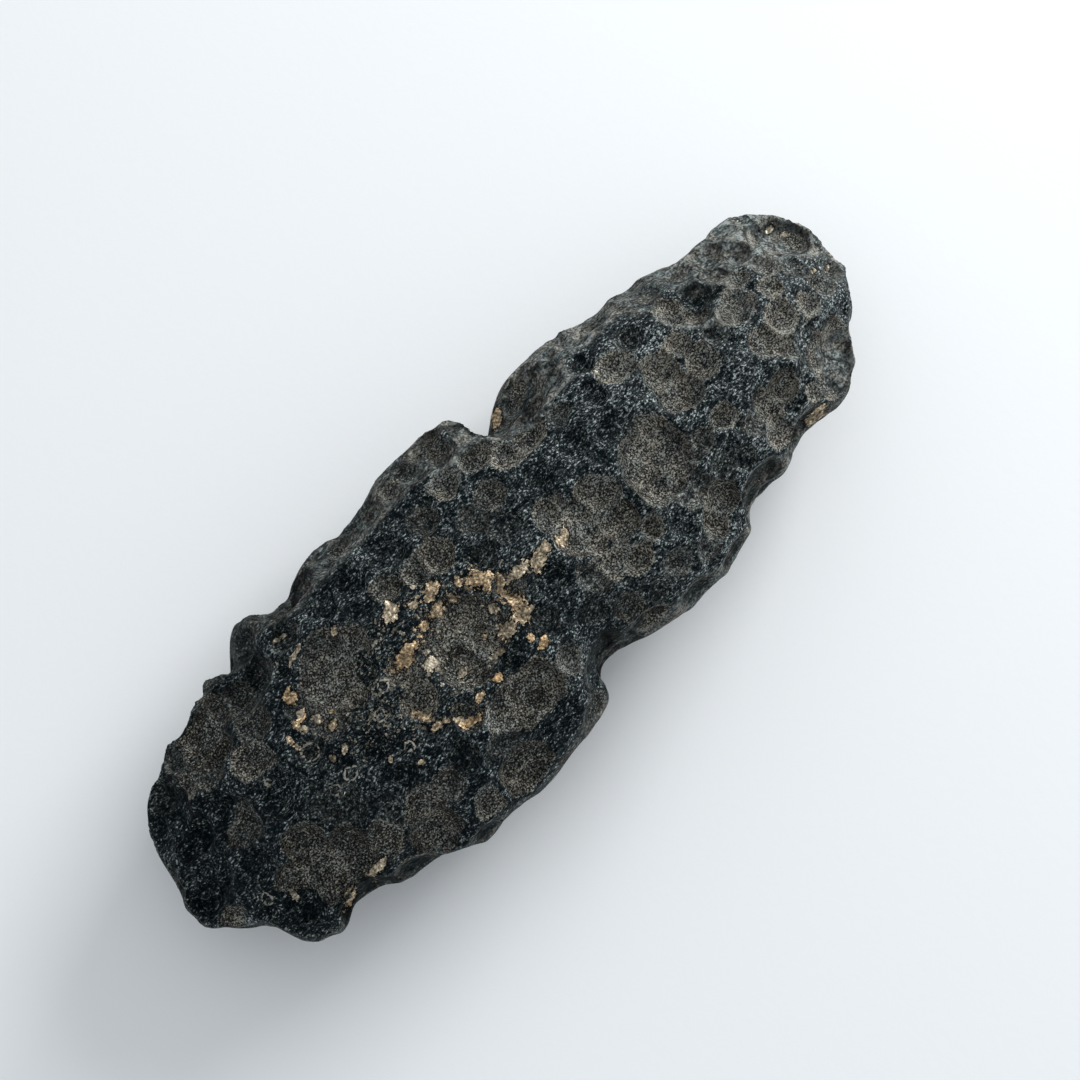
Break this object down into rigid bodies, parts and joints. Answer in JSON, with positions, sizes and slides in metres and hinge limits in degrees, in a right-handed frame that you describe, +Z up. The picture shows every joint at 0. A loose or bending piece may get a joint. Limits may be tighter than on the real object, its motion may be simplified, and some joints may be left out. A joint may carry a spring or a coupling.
{
  "type": "tektite",
  "caption": "Elongated lump of black natural glass with a deep side notch, etched all over into shallow overlapping bowls.",
  "frame": {"origin": "middle of the bounding box's base, on the surface that the stone lies on", "axes": "+X along the stone towards its tapered end, +Y across it towards the side with the deep notch, +Z up"},
  "size_m": [0.078, 0.0278, 0.0159],
  "materials": {
    "etched_black_glass": "opaque black natural glass, dull satin, finely etched, with greyish brown bowl floors and specks of dried ochre clay"
  },
  "bodies": {
    "root": {"tektite": "etched_black_glass"}
  },
  "joints": []
}
